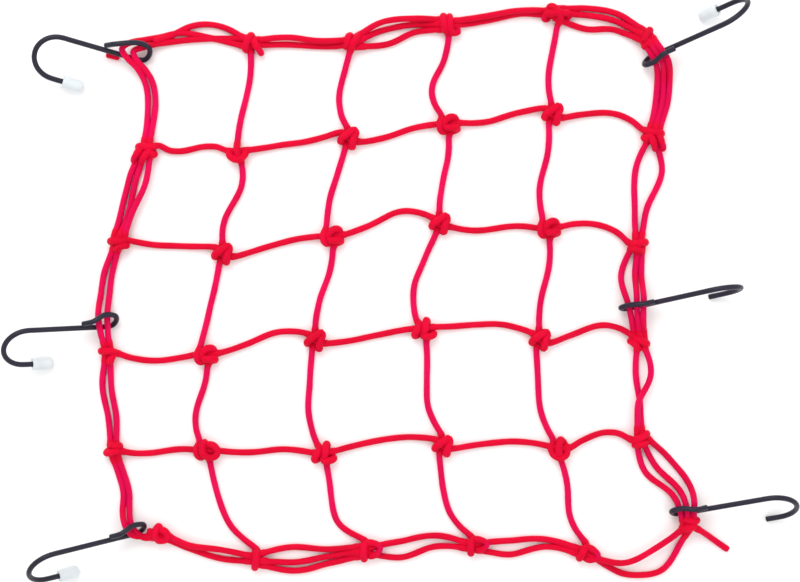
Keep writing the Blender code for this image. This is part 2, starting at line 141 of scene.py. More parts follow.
# Bows of each field cord between two knots, at a third and two thirds of the way, to the
# left of the way it runs: across the net for the rows, down it for the columns
ROW_BOWS = (
    ((-2.0, 5.5), (1.5, 1.5), (-4.0, 1.5), (-1.5, 3.5), (5.5, 10.0)),
    ((0.0, 1.5), (-1.0, 2.0), (4.5, 13.0), (-5.0, 0.5), (8.0, 8.0)),
    ((-6.0, -4.0), (3.0, 10.0), (-3.5, 0.0), (5.0, 8.5), (3.5, 12.0)),
    ((-2.5, 1.0), (-1.5, 2.5), (5.0, 7.5), (1.5, 5.0), (5.0, 8.0)),
)
COLUMN_BOWS = (
    ((3.0, -1.0), (6.5, -4.0), (-3.0, -5.0), (-3.0, -10.5), (-6.5, -8.0)),
    ((-7.0, -10.5), (-4.5, -8.0), (1.5, -3.5), (-7.0, -10.0), (-6.0, -11.5)),
    ((-2.0, -14.5), (1.0, -2.5), (-7.5, -13.0), (-2.5, -7.5), (-8.5, -9.5)),
    ((-1.0, -5.0), (-3.0, -9.5), (2.0, -3.0), (-7.0, -9.5), (0.5, -4.0)),
)

# Border strands. start, end: row and column of the knots; lane: place in the knot at the
# start and at the end; bow: to the left at one third and two thirds; over: 1 if it passes
# over its neighbour
BORDER = (
    # start, end, lane, bow, bow, lane, over
    ((0, 1), (0, 2), 0.5, 3.4, 1.0, 0.5, 1),
    ((0, 1), (0, 2), -0.5, -1.2, -2.5, -0.5, 0),
    ((0, 2), (0, 3), 1.0, 10.8, 8.8, 1.0, 1),
    ((0, 2), (0, 3), 0.0, 5.4, 5.0, 0.0, 0),
    ((0, 2), (0, 3), -1.0, -5.5, -0.7, -1.0, 0),
    ((0, 3), (0, 4), 0.5, 2.8, 4.4, 0.5, 1),
    ((0, 3), (0, 4), -0.5, 0.0, 2.6, -0.5, 0),
    ((0, 4), (0, 5), 1.0, 10.3, 11.8, 1.0, 0),
    ((0, 4), (0, 5), 0.0, 5.0, 6.3, 0.0, 0),
    ((0, 4), (0, 5), -1.0, -5.4, -0.2, -1.0, 0),
    ((0, 5), (1, 5), -1.0, 6.2, 4.5, -1.0, 0),
    ((0, 5), (1, 5), 0.0, 10.7, 9.0, 0.0, 0),
    ((0, 5), (1, 5), 1.0, 15.2, 13.5, 1.0, 0),
    ((1, 5), (2, 5), -0.5, -9.1, -5.8, -0.5, 0),
    ((1, 5), (2, 5), 0.5, 10.7, 3.9, 0.5, 0),
    ((2, 5), (3, 5), -1.0, -12.5, -8.0, -1.0, 0),
    ((2, 5), (3, 5), 0.0, -2.2, -2.7, 0.0, 0),
    ((2, 5), (3, 5), 1.0, 2.4, 1.8, 1.0, 0),
    ((3, 5), (4, 5), 0.5, 8.2, -1.5, -0.5, 1),
    ((3, 5), (4, 5), -0.5, -2.6, 0.5, 0.5, 0),
    ((4, 5), (5, 5), -1.0, -8.9, 0.8, -1.0, 0),
    ((4, 5), (5, 5), 0.0, 0.2, 7.2, 0.0, 0),
    ((4, 5), (5, 5), 1.0, 11.8, 15.4, 1.0, 0),
    ((5, 0), (5, 1), 0.5, -2.4, 0.9, 0.5, 1),
    ((5, 0), (5, 1), -0.5, -5.6, -6.5, -0.5, 0),
    ((5, 1), (5, 2), 1.0, 6.7, 3.0, 1.0, 0),
    ((5, 1), (5, 2), 0.0, -4.9, -2.3, 0.0, 0),
    ((5, 1), (5, 2), -1.0, -11.2, -7.6, -1.0, 0),
    ((5, 2), (5, 3), 0.5, 5.5, 8.8, 0.5, 0),
    ((5, 2), (5, 3), -0.5, -6.5, 0.5, -0.5, 0),
    ((5, 3), (5, 4), 0.5, 5.2, 7.8, 0.5, 0),
    ((5, 3), (5, 4), -0.5, -5.2, 2.2, -0.5, 0),
    ((5, 4), (5, 5), -0.5, -14.8, -9.6, 0.5, 1),
    ((5, 4), (5, 5), 0.5, -24.0, -27.6, -0.5, 0),
    ((1, 0), (2, 0), -1.0, -6.1, -5.1, -1.0, 0),
    ((1, 0), (2, 0), 0.0, -0.9, 0.7, 0.0, 0),
    ((1, 0), (2, 0), 1.0, 7.4, 4.2, 1.0, 1),
    ((2, 0), (3, 0), -0.5, -9.1, -9.0, -0.5, 0),
    ((2, 0), (3, 0), 0.5, -3.2, -2.6, 0.5, 0),
    ((3, 0), (4, 0), -0.5, -6.3, -3.0, -0.5, 0),
    ((3, 0), (4, 0), 0.5, 0.4, 2.9, 0.5, 0),
)

# Strands that turn a corner in a hook's eye, and two cut ends. start, end: knots, or None
# at a cut end; lane: place in the start knot and in the end knot; points: x, y on the way
CORNER_STRANDS = (
    # start, lane, points, end, lane
    ((0, 1), 1.0, ((-165, 194), (-181, 190.5), (-191, 188.5), (-201, 186), (-207.5, 180.5),
                   (-204, 174), (-197, 167), (-191.5, 157), (-189.5, 141)),
     (1, 0), -0.5),
    ((0, 1), -1.0, ((-150, 189.5), (-170, 187.5), (-184, 185), (-192.5, 182.5), (-199.5, 179),
                    (-197, 172.5), (-190, 164.5), (-185.5, 155), (-184, 141)),
     (1, 0), 0.5),
    ((0, 1), 0.0, ((-128, 196.5), (-143, 200.5), (-157, 199), (-172, 192), (-184, 187.5)),
     (0, 1), None),
    ((4, 0), -0.5, ((-208.5, -150), (-208, -165), (-205, -175), (-199.5, -182.5)), (5, 0), -0.5),
    ((4, 0), 0.5, ((-204, -150), (-203.5, -161), (-202, -171), (-197.6, -180.3), (-190.8, -185.2)),
     (5, 0), 0.1),
    ((5, 5), 0.5, ((226, -180), (236, -187), (246, -194)), (5, 5), None),
)

# Hooks. x, y: the inner end of the eye; heading: the way the shank runs out, in degrees
# from +X; reach: from the eye's inner end to the bend; bend_side and eye_side: how far the
# J lies to the left and the eye to the right; eye_length: from its inner end to the cut end
# of the wire; tip: the straight wire past the J; cap: whether the tip has one
HOOKS = (
    # name, x, y, heading, reach, bend_side, eye_side, eye_length, tip, cap
    ("top_left", -191.0, 172.4, 165.5, 80.4, 30.5, 11.0, 32.4, 16.0, True),
    ("mid_left", -215.2, -26.6, 182.4, 81.3, 25.5, 9.0, 24.8, 14.0, True),
    ("bottom_left", -194.3, -181.5, 190.3, 86.1, 20.0, 7.5, 26.1, 16.0, True),
    ("top_right", 186.0, 175.1, 20.9, 83.3, 14.5, 5.4, 25.8, 20.0, True),
    ("mid_right", 169.3, -13.7, 13.8, 85.6, -6.2, -2.7, 25.6, 13.0, False),
    ("bottom_right", 206.9, -168.3, 13.8, 88.0, -19.7, -5.4, 26.0, 10.0, False),
)

# The six ways a cord that runs down the net is tied round one that runs across. Each row
# is x and y from the knot's middle, and the height above the surface
KNOT_PATHS = {
    "A": (
        # x, y, height
        (-6.2, 5.4, 6.4),
        (-7.9, 0.6, 9.0),
        (-7.3, -3.8, 8.0),
        (-4.8, -5.2, 4.8),
        (-1.2, -2.4, 2.5),
        (2.4, 1.0, 2.5),
        (4.2, 3.6, 5.0),
        (2.4, 5.3, 8.0),
        (-0.8, 4.6, 9.6),
        (-3.6, 1.8, 9.2),
        (-3.8, -1.2, 8.4),
        (-1.6, -2.9, 9.6),
        (2.0, -2.8, 9.9),
        (4.9, -2.9, 7.6),
        (5.2, -3.6, 4.8),
        (2.8, -4.4, 2.7),
        (0.2, -6.2, 2.5),
    ),
    "B": (
        # x, y, height
        (-1.6, 5.4, 2.8),
        (-2.4, 1.0, 2.5),
        (-4.8, -2.6, 2.9),
        (-7.0, -3.2, 5.4),
        (-6.2, -1.4, 8.4),
        (-3.0, 0.8, 9.9),
        (0.4, 3.2, 10.0),
        (3.2, 4.9, 9.2),
        (4.4, 2.4, 8.6),
        (2.9, -1.0, 9.4),
        (2.2, -4.6, 9.2),
        (2.0, -7.2, 6.6),
        (0.6, -6.2, 3.6),
        (-1.4, -4.6, 2.6),
        (-3.0, -6.4, 2.5),
    ),
    "C": (
        # x, y, height
        (-4.6, 6.2, 3.0),
        (-6.6, 2.4, 5.0),
        (-6.0, -1.2, 7.0),
        (-3.6, -4.0, 7.9),
        (0.6, -5.2, 8.4),
        (4.0, -3.6, 7.8),
        (5.2, -0.2, 6.2),
        (4.2, 3.0, 3.4),
        (2.2, 6.4, 3.6),
        (0.2, 7.8, 6.4),
        (-0.8, 5.0, 9.4),
        (-1.2, 0.8, 10.4),
        (-1.0, -2.2, 9.6),
        (-0.2, -4.2, 5.6),
        (1.2, -8.0, 2.6),
    ),
    "D": (
        # x, y, height
        (-6.2, 6.0, 4.4),
        (-8.0, 1.2, 7.4),
        (-7.2, -3.6, 6.6),
        (-4.4, -5.4, 3.6),
        (-2.2, -1.5, 2.5),
        (-1.6, 3.5, 3.4),
        (-2.2, 6.2, 6.2),
        (-3.4, 3.4, 9.2),
        (-3.2, -1.2, 9.6),
        (-0.6, -4.4, 8.4),
        (3.2, -5.2, 7.6),
        (6.8, -3.4, 7.6),
        (7.6, 0.4, 8.2),
        (5.0, 3.8, 8.8),
        (1.4, 4.2, 8.0),
        (0.4, 1.4, 5.0),
        (0.8, -3.0, 2.6),
        (1.4, -8.0, 2.6),
    ),
    "E": (
        # x, y, height
        (-5.4, 6.8, 3.4),
        (-3.4, 4.0, 6.6),
        (-4.4, 0.8, 9.0),
        (-6.6, -2.6, 8.4),
        (-6.8, -4.8, 5.2),
        (-3.2, -3.0, 2.6),
        (0.4, 2.0, 2.5),
        (2.2, 5.8, 4.0),
        (1.8, 7.2, 6.8),
        (1.2, 4.6, 9.4),
        (1.0, 0.4, 9.9),
        (0.0, -2.6, 8.2),
        (-0.8, -4.6, 7.8),
        (1.6, -5.0, 8.8),
        (5.2, -4.8, 8.4),
        (7.6, -3.4, 6.0),
        (5.6, -2.8, 3.0),
        (2.6, -5.0, 2.5),
        (2.0, -8.4, 2.5),
    ),
    "F": (
        # x, y, height
        (-0.8, 7.0, 5.0),
        (-0.6, 3.4, 8.8),
        (-0.2, -0.8, 8.8),
        (0.4, -3.4, 6.0),
        (0.0, -2.0, 2.6),
        (-2.6, 0.6, 2.6),
        (-5.4, 1.4, 4.6),
        (-6.2, -0.8, 7.0),
        (-4.6, -3.6, 8.2),
        (-1.0, -5.2, 8.8),
        (2.6, -4.4, 8.8),
        (5.0, -1.6, 7.6),
        (5.2, 0.8, 5.0),
        (3.4, 0.4, 2.8),
        (1.6, -4.0, 2.5),
        (2.4, -8.4, 2.5),
    ),
}
# How the cord that runs across goes through each of them, in the same three columns
THROUGH_PATHS = {
    "A": ((-8.5, 0.4, 4.6), (0.0, 0.8, 6.0), (7.5, 1.4, 4.4)),
    "B": ((-6.5, 3.5, 4.6), (-0.4, -1.2, 5.9), (6.5, -3.2, 4.4)),
    "C": ((-8.0, 3.0, 4.4), (0.0, 1.2, 6.0), (8.0, 2.0, 4.4)),
    "D": ((-8.5, 0.4, 4.4), (0.0, 0.2, 5.4), (8.5, -0.4, 4.4)),
    "E": ((-8.0, 0.6, 4.4), (0.0, 0.8, 5.8), (7.5, 1.8, 4.4)),
    "F": ((-8.0, 1.8, 4.4), (0.0, 1.4, 5.6), (8.0, 2.4, 4.4)),
}
FIELD_LAY = ("FBAB", "BABA", "ABEB", "DEBC")  # the way each inner knot is tied, in four rows

# How the end of a field cord is tied round the border, from the field, which is at -y here,
# to its hidden end. Each row is x, y and height, as above. The y of these is set by how many
# strands they go round
TIES = {
    "over": (
        # x, y, height
        (0.4, -8.6, 6.4),
        (0.6, -4.0, 9.6),
        (0.0, 1.0, 10.4),
        (-0.6, 5.6, 9.0),
        (-0.6, 8.4, 5.4),
        (0.8, 5.5, 2.6),
        (2.4, 0.0, 2.5),
        (3.6, -5.2, 3.2),
        (4.4, -8.2, 5.8),
        (4.4, -5.8, 8.8),
        (4.9, -1.5, 9.8),
        (5.8, 2.2, 7.8),
        (5.2, 4.5, 5.2),
    ),
    "under": (
        # x, y, height
        (1.0, -9.5, 3.2),
        (0.6, -4.0, 2.5),
        (0.2, 2.0, 2.5),
        (-0.2, 7.0, 3.4),
        (-0.5, 8.4, 6.2),
        (-0.6, 5.5, 9.2),
        (-0.6, 0.0, 10.3),
        (-0.6, -5.0, 9.4),
        (0.4, -7.8, 6.8),
        (2.8, -6.6, 6.6),
        (5.4, -4.6, 8.0),
        (8.0, -2.8, 7.0),
        (8.6, -0.6, 4.6),
    ),
    "double": (
        # x, y, height
        (1.0, -9.5, 3.2),
        (0.6, -4.0, 2.5),
        (-1.4, 2.0, 2.5),
        (-2.6, 7.0, 3.4),
        (-2.9, 8.6, 6.2),
        (-2.9, 5.5, 9.2),
        (-2.6, 0.0, 10.3),
        (-1.8, -5.0, 9.4),
        (-0.4, -8.2, 6.0),
        (0.4, -4.0, 2.6),
        (1.0, 3.0, 2.6),
        (1.4, 8.0, 4.6),
        (1.5, 8.0, 7.4),
        (1.6, 4.0, 9.8),
        (1.6, -1.0, 10.2),
        (2.4, -6.6, 8.6),
        (5.0, -10.0, 7.0),
        (8.0, -8.6, 5.6),
        (7.0, -4.0, 3.6),
    ),
    "vee": (
        # x, y, height
        (0.6, -9.5, 3.2),
        (0.2, -4.0, 2.5),
        (0.6, 3.0, 2.5),
        (0.8, 8.2, 4.4),
        (0.4, 8.6, 7.0),
        (-0.6, 4.6, 9.8),
        (-1.8, -1.0, 10.2),
        (-3.0, -6.8, 8.6),
        (-2.6, -9.6, 5.4),
        (-0.6, -5.6, 3.0),
        (1.4, 0.6, 5.8),
        (2.6, 1.4, 8.8),
        (4.6, -3.4, 9.6),
        (7.4, -9.4, 8.0),
        (9.0, -13.0, 5.4),
        (8.0, -11.4, 3.0),
    ),
    "loop": (
        # x, y, height
        (0.8, -9.5, 3.2),
        (0.4, -4.0, 2.5),
        (0.0, 2.0, 2.5),
        (-0.2, 7.0, 3.4),
        (-0.4, 8.6, 6.0),
        (-0.6, 5.5, 9.2),
        (-0.6, 0.0, 10.3),
        (-0.4, -5.0, 9.6),
        (1.0, -8.4, 7.6),
        (4.5, -9.2, 7.4),
        (9.0, -7.8, 7.8),
        (11.8, -3.4, 7.0),
        (9.6, 1.8, 7.4),
        (5.4, 5.0, 6.6),
        (2.0, 4.0, 4.6),
    ),
    "band": (
        # x, y, height
        (0.6, -9.5, 3.2),
        (0.4, -4.0, 2.5),
        (0.2, 2.0, 2.5),
        (0.0, 7.0, 3.4),
        (-0.2, 8.6, 6.2),
        (-0.3, 5.5, 9.2),
        (-0.2, 0.0, 10.3),
        (0.4, -5.4, 9.0),
        (1.4, -8.2, 5.6),
        (2.4, -3.5, 3.6),
    ),
}
TIE_WIDTH = {2: 0.58, 3: 0.68}  # share of the table's y for that many border strands
RING_SIZE = 0.84  # size of the border's ring, as a share of the inner knot that it is like
# The y of these is as it stands
TIES_IN_PLACE = {
    "three": (
        # x, y, height
        (1.4, -9.0, 3.4),
        (3.2, -5.6, 6.6),
        (2.4, -0.8, 9.8),
        (-1.6, 3.6, 9.2),
        (-4.4, 4.6, 6.0),
        (-5.2, 0.6, 2.6),
        (-6.6, -3.8, 3.4),
        (-8.8, -4.4, 6.0),
        (-8.0, -1.6, 8.6),
        (-4.0, -0.6, 9.4),
        (2.0, -0.4, 9.7),
        (7.4, -0.4, 9.0),
        (10.4, -1.6, 6.4),
        (8.6, -3.4, 4.0),
    ),
    "fork": (
        # x, y, height
        (-9.0, 4.6, 4.2),
        (-4.6, 2.6, 7.8),
        (0.0, 1.6, 9.6),
        (4.2, 1.2, 8.4),
        (6.0, 0.4, 5.2),
        (2.6, -0.4, 2.6),
        (-3.4, -0.6, 2.6),
        (-6.6, -2.4, 4.8),
        (-6.0, -3.2, 7.6),
        (-3.2, -1.6, 9.4),
        (-0.8, -5.2, 9.8),
        (0.8, -9.4, 7.8),
        (1.6, -11.0, 4.8),
        (3.0, -6.0, 3.0),
        (2.8, -1.4, 6.4),
        (3.4, -1.0, 8.8),
        (5.4, -5.2, 9.2),
        (7.4, -9.4, 7.0),
        (7.6, -11.0, 4.4),
    ),
    "ring": tuple((x * RING_SIZE, y * RING_SIZE, height) for x, y, height in KNOT_PATHS["D"]),
}
# Each knot of the border: its form, how far it is turned from one whose field lies below it,
# in degrees, and its side, -1 if it is the mirror image
EDGE_KNOTS = {
    # (row, column): form, turn, side
    (0, 1): ("vee", -4, 1),
    (0, 2): ("over", -25, -1),
    (0, 3): ("double", 0, 1),
    (0, 4): ("three", 0, 1),
    (0, 5): ("over", -42, 1),
    (1, 0): ("fork", -12, -1),
    (2, 0): ("over", 100, -1),
    (3, 0): ("under", 90, -1),
    (4, 0): ("over", 90, 1),
    (1, 5): ("fork", 0, 1),
    (2, 5): ("over", -90, 1),
    (3, 5): ("over", -125, 1),
    (4, 5): ("over", -70, 1),
    (5, 0): ("ring", -15, 1),
    (5, 1): ("band", 170, 1),
    (5, 2): ("loop", 180, -1),
    (5, 3): ("loop", 180, -1),
    (5, 4): ("loop", 155, -1),
    (5, 5): ("over", 95, 1),
}
# A short cut end that lies on the surface, half under a hook's shank: x, y and height
STUB = ((-222.5, 178.2, 2.45), (-218.0, 177.2, 2.4), (-213.5, 176.2, 2.4), (-209.5, 175.2, 2.35))
CORNER_TIES = ((0, 5), (5, 5), (5, 0))  # knots of the border where no field cord ends

# The cord's braid
BRAID_AROUND = 10  # yarns round the cord that lean one way
BRAID_PITCH = 2.1  # length of cord from one yarn to the next
BRAID_UNDER = 0.8  # height of the yarns that lean the other way, as a share
BRAID_CROSS = 0.15  # how much higher the yarns lie in every other strip along the cord
BRAID_GROOVE = (-0.7, 0.4)  # heights between which the painted shade in a groove goes from darkest to none
BRAID_SHADE = 0.7  # share of the painted shade in the deepest groove
FUZZ_HEIGHT = 0.5  # height of the yarns' fuzz, beside the braid's own
TINT_BEND = 3.0  # how sharply the painted pinker light grows with a cord's slant

# Colours, as linear red, green and blue: the darker and the paler one that a surface varies
# between
CORD_ACROSS = ((0.64, 0.0010, 0.022, 1), (0.93, 0.0020, 0.043, 1))
# The cords that run down the net: the same red, with painted pinker light on it
CORD_DOWN_PAINTED_LIGHT = ((0.66, 0.0016, 0.064, 1), (0.97, 0.0036, 0.124, 1))
# Painted shade in the braid's grooves
CORD_GROOVE_PAINTED_SHADE = (0.20, 0.0008, 0.014, 1)
CORD_SHEEN = (0.9, 0.05, 0.5, 1)
WIRE_DARK = ((0.006, 0.005, 0.014, 1), (0.016, 0.014, 0.034, 1))
WIRE_GLOSS = (0.26, 0.44)  # roughness of the coating, from smooth to worn
CUT_STEEL = ((0.30, 0.29, 0.28, 1), (0.50, 0.49, 0.47, 1))
CAP_MILK = ((0.70, 0.76, 0.79, 1), (0.84, 0.89, 0.91, 1))
FLOOR_PALE = (0.93, 0.93, 0.93, 1)
SKY_WHITE = (1.0, 1.0, 1.0, 1)

# Stage, in metres
FLOOR_SIZE = 6.0
CAMERA_HEIGHT = 1.206
CAMERA_LENS = 72.0  # in millimetres, as is the width of the film
FILM_WIDTH = 36.0
SKY_POWER = 1.04
LAMPS = (
    # name, place, size, power, colour
    ("key", (-0.35, 0.95, 1.3), 0.9, 10.0, (1.0, 0.99, 0.97)),
    ("fill", (0.9, -0.5, 1.3), 1.2, 3.0, (0.92, 0.95, 1.0)),
)


def ease(value):
    """Rises smoothly from 0 to 1 as the value goes from 0 to 1."""
    value = np.clip(value, 0.0, 1.0)
    return value * value * (3 - 2 * value)


def smooth(points, step):
    """One smooth curve through the points, then read off at even steps.

    Each stretch is a cubic through four neighbours. Its parameter grows by the square root
    of the distance from point to point, which keeps it from swinging wide where a long
    stretch meets a short one.
    """
    points = np.asarray(points, float)
    padded = np.vstack([2 * points[0] - points[1], points, 2 * points[-1] - points[-2]])
    grown = np.sqrt(np.linalg.norm(np.diff(padded, axis=0), axis=1)) + 1e-6
    dense = []
    share = np.linspace(0, 1, CURVE_STEPS, endpoint=False)[:, None]
    for stretch in range(len(points) - 1):
        a, b, c, d = padded[stretch : stretch + 4]
        before, across, after = grown[stretch : stretch + 3]
        way_in = (b - a) / before - (c - a) / (before + across) + (c - b) / across
        way_out = (c - b) / across - (d - b) / (across + after) + (d - c) / after
        start, finish = way_in * across, way_out * across
        dense.append(
            b
            + start * share
            + (3 * (c - b) - 2 * start - finish) * share**2
            + (2 * (b - c) + start + finish) * share**3
        )
    dense = np.vstack([*dense, points[-1:]])
    run = np.concatenate([[0], np.cumsum(np.linalg.norm(np.diff(dense, axis=0), axis=1))])
    even = np.linspace(0, run[-1], max(int(round(run[-1] / step)), 2) + 1)
    return np.stack([np.interp(even, run, dense[:, axis]) for axis in range(3)], axis=1)


def frames(path):
    """The way a path runs at each point, and two directions across it that don't spin.

    The first direction is carried from point to point by taking out its part along the path.
    """
    way = np.gradient(path, axis=0)
    way /= np.linalg.norm(way, axis=1)[:, None]
    side = np.empty_like(path)
    carried = np.cross(way[0], (0.0, 0.0, 1.0))
    if np.linalg.norm(carried) < NEARLY_UPRIGHT:
        carried = np.cross(way[0], (1.0, 0.0, 0.0))
    for number, forward in enumerate(way):
        carried = carried - forward * (carried @ forward)
        carried = carried / np.linalg.norm(carried)
        side[number] = carried
    return way, side, np.cross(way, side)


def tube(path, radii, sides, ends, lean=1.0):
    """A round tube: points, faces, place round and along for each corner, slant at each point.

    Each point of the path gets a ring of its radius, which lies across the path. Each end is
    closed by smaller rings, at the shares of the radius that the table gives, and one last
    point. The slant is how far the path runs up or down the net, times the share of it that
    is wanted; it sets how much painted pinker light a cord gets.
    """
    way, side, up = frames(path)
    last = len(path) - 1
    rings = [(path[i], radii[i], i) for i in range(len(path))]
    for out, share in ends:
        rings.insert(0, (path[0] - way[0] * out * radii[0], radii[0] * share, 0))
        rings.append((path[-1] + way[-1] * out * radii[-1], radii[-1] * share, last))
    centres = np.array([ring[0] for ring in rings])
    sizes = np.array([ring[1] for ring in rings])[:, None, None]
    used = [ring[2] for ring in rings]
    turn = np.arange(sides) * 2 * math.pi / sides
    circle = (
        side[used][:, None, :] * np.cos(turn)[None, :, None]
        + up[used][:, None, :] * np.sin(turn)[None, :, None]
    )
    points = (centres[:, None, :] + circle * sizes).reshape(-1, 3)
    run = np.concatenate([[0], np.cumsum(np.linalg.norm(np.diff(centres, axis=0), axis=1))])
    ring = np.arange(len(rings) - 1)[:, None] * sides
    here = np.arange(sides)[None, :]
    there = (here + 1) % sides
    quads = np.stack([ring + here, ring + there, ring + sides + there, ring + sides + here], -1)
    faces = quads.reshape(-1, 4).tolist()
    low, high = run[:-1, None] + 0 * here, run[1:, None] + 0 * here
    left, right = here / sides + 0 * low, (here + 1) / sides + 0 * low
    corners = np.stack([left, low, right, low, right, high, left, high], -1).reshape(-1, 2)
    tip = ends[-1][0] + POLE_OUT
    poles = [path[0] - way[0] * tip * radii[0], path[-1] + way[-1] * tip * radii[-1]]
    bottom, top, base = len(points), len(points) + 1, (len(rings) - 1) * sides
    fans = []
    for k in range(sides):
        faces.append((bottom, (k + 1) % sides, k))
        faces.append((top, base + k, base + (k + 1) % sides))
        for end in (run[0], run[-1]):
            fans += [((k + 0.5) / sides, end), (k / sides, end), ((k + 1) / sides, end)]
    painted_light_slant = (np.abs(way[:, 1]) * lean)[used].repeat(sides)
    painted_light_slant = np.concatenate([painted_light_slant, painted_light_slant[[0, -1]]])
    return np.vstack([points, poles]), faces, np.vstack([corners, fans]), painted_light_slant


def join(name, tubes, finish, stands_for):
    """One mesh from several tubes, riding on the part's body."""
    points, faces, corners, slants, count = [], [], [], [], 0
    for shape, tube_faces, places, painted_light_slant in tubes:
        points.append(shape)
        faces += [tuple(corner + count for corner in face) for face in tube_faces]
        corners.append(places)
        slants.append(painted_light_slant)
        count += len(shape)
    mesh = bpy.data.meshes.new(name)
    mesh.from_pydata((np.vstack(points) * MM).tolist(), [], faces)
    layer = mesh.uv_layers.new(name="sheath")
    layer.data.foreach_set("uv", np.vstack(corners).astype(np.float32).ravel())
    # The slant sets how much painted pinker light each point of a cord gets
    lean = mesh.attributes.new("painted_light_slant", "FLOAT", "POINT")
    lean.data.foreach_set("value", np.concatenate(slants).astype(np.float32))
    mesh.polygons.foreach_set("use_smooth", np.ones(len(faces), bool))
    mesh.materials.append(finish)
    mesh.update()
    piece = bpy.data.objects.new(name, mesh)
    bpy.context.scene.collection.objects.link(piece)
    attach(piece, "root")
    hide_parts(*stands_for)
    return piece


def shank_line(hook):
    """A hook's shank: its start, the way it runs seen from above, and its slope in radians."""
    _, x, y, heading, reach, bend_side, _, _, tip, cap = hook
    turn = math.radians(heading)
    drop = math.sqrt(J_WIDTH**2 - bend_side**2) + (CAP_RADIUS if cap else WIRE_RADIUS)
    tip_run = reach - J_DEPTH - tip
    if cap:
        tip_run -= CAP_LENGTH - CAP_ROUND - CAP_GRIP
    slope = math.atan2(drop, tip_run) - math.asin(EYE_START / math.hypot(drop, tip_run))
    return np.array((x, y, 0.0)), np.array((math.cos(turn), math.sin(turn), 0.0)), slope


def hook_lift(places):
    """How far the shanks of the hooks raise what lies over them at each place."""
    flat = np.asarray(places, float).reshape(-1, np.shape(places)[-1])[:, :2]
    lift = np.zeros(len(flat))
    for hook in HOOKS:
        start, along, slope = shank_line(hook)
        away = flat - start[:2]
        run = np.clip(away @ along[:2], 0.0, EYE_RUN)
        gap = np.linalg.norm(away - run[:, None] * along[:2], axis=1)
        near = ease((WIRE_REACH - gap) / (WIRE_REACH - WIRE_CLEAR))
        over = EYE_START + run * math.tan(slope) + STRAND_OVER_WIRE / math.cos(slope)
        lift = np.maximum(lift, (over - FLOOR_HEIGHT) * near)
    return lift


def knot_raise(row, column):
    """How much higher than on the flat surface a knot lies, over a hook."""
    return max(0.0, FLOOR_HEIGHT + hook_lift(KNOTS[row][column])[0] - KNOT_HEIGHT)


def cord_heights(places):
    """Height of a cord's middle: on the surface, higher near a knot and over a hook's wire."""
    heights = FLOOR_HEIGHT + hook_lift(places)
    for row, spots in enumerate(KNOTS):
        for column, spot in enumerate(spots):
            if spot:
                away = np.linalg.norm(places[:, :2] - spot, axis=1)
                climb = KNOT_HEIGHT + knot_raise(row, column) - FLOOR_HEIGHT
                heights = np.maximum(heights, FLOOR_HEIGHT + climb * ease(1 - away / KNOT_REACH))
    return heights


def bowed(start, end, bows):
    """Two places between start and end, off the straight line to its left."""
    start, end = np.array(start), np.array(end)
    way = (end - start) / np.linalg.norm(end - start)
    left = np.array((-way[1], way[0]))
    return [
        start + (end - start) * share + left * bow
        for share, bow in zip((1 / 3, 2 / 3), bows)
    ]


def on_surface(places):
    """The places with the height of a cord that lies there."""
    places = np.asarray(places, float)
    return np.column_stack([places, FLOOR_HEIGHT + hook_lift(places)])


def knot_points(row, column, table):
    """A knot's table of points at its place in the net."""
    x, y = KNOTS[row][column]
    return np.array(table) + (x, y, knot_raise(row, column))


def strands_at(row, column):
    """How many border strands a knot of the border ties: the most that leave it one way."""
    count = {}
    for start, end, *_ in BORDER:
        for knot, other in ((start, end), (end, start)):
            if knot == (row, column):
                count[other] = count.get(other, 0) + 1
    return max(count.values())


def tied_points(row, column):
    """The end of a cord, tied round the border, from the field to its hidden end."""
    form, turn, side = EDGE_KNOTS[row, column]
    if form in TIES:
        table = np.array(TIES[form]) * (side, TIE_WIDTH[strands_at(row, column)], 1.0)
    else:
        table = np.array(TIES_IN_PLACE[form]) * (side, 1.0, 1.0)
    turn = math.radians(turn)
    x, y = KNOTS[row][column]
    return np.column_stack([
        x + table[:, 0] * math.cos(turn) - table[:, 1] * math.sin(turn),
        y + table[:, 0] * math.sin(turn) + table[:, 1] * math.cos(turn),
        table[:, 2] + knot_raise(row, column),
    ])


def cord_across(row):
    """A cord that runs across the net, tied to the border at both ends."""
    points = [tied_points(row, 0)[::-1]]
    for column, bows in enumerate(ROW_BOWS[row - 1]):
        points.append(on_surface(bowed(KNOTS[row][column], KNOTS[row][column + 1], bows)))
        if column < CORDS:
            points.append(knot_points(row, column + 1, THROUGH_PATHS[FIELD_LAY[row - 1][column]]))
    points.append(tied_points(row, LAST))
    return np.vstack(points)


def cord_down(column):
    """A cord that runs down the net, tied round each cord that it crosses."""
    points = [tied_points(0, column)[::-1]]
    for row, bows in enumerate(COLUMN_BOWS[column - 1]):
        points.append(on_surface(bowed(KNOTS[row][column], KNOTS[row + 1][column], bows)))
        if row < CORDS:
            points.append(knot_points(row + 1, column, KNOT_PATHS[FIELD_LAY[row][column - 1]]))
    points.append(tied_points(LAST, column))
    return np.vstack(points)


def border_strand(start, end, lane_start, first, second, lane_end, over):
    """The path of one strand of the border, from knot to knot."""
    begin, finish = np.array(KNOTS[start[0]][start[1]]), np.array(KNOTS[end[0]][end[1]])
    way = (finish - begin) / np.linalg.norm(finish - begin)
    left = np.array((-way[1], way[0]))
    flat = [
        begin + left * lane_start * LANE,
        *bowed(begin, finish, (first, second)),
        finish + left * lane_end * LANE,
    ]
    return raised(flat, over, lane_start == 0)


def raised(flat, over, on_top):
    """A smooth path through the places, at the height of a cord that lies there.

    A strand that passes over the one beside it is raised between the knots, and one on top
    of the others is raised in the knots.
    """
    path = smooth(np.column_stack([np.array(flat), np.zeros(len(flat))]), CORD_STEP)
    from_start = np.linalg.norm(path - path[0], axis=1)
    from_end = np.linalg.norm(path - path[-1], axis=1)
    away = np.minimum(from_start, from_end) / KNOT_REACH
    extra = over * STRAND_RISE * ease(away) + on_top * STACK_RISE * ease(1 - away)
    path[:, 2] = cord_heights(path) + extra
    return path


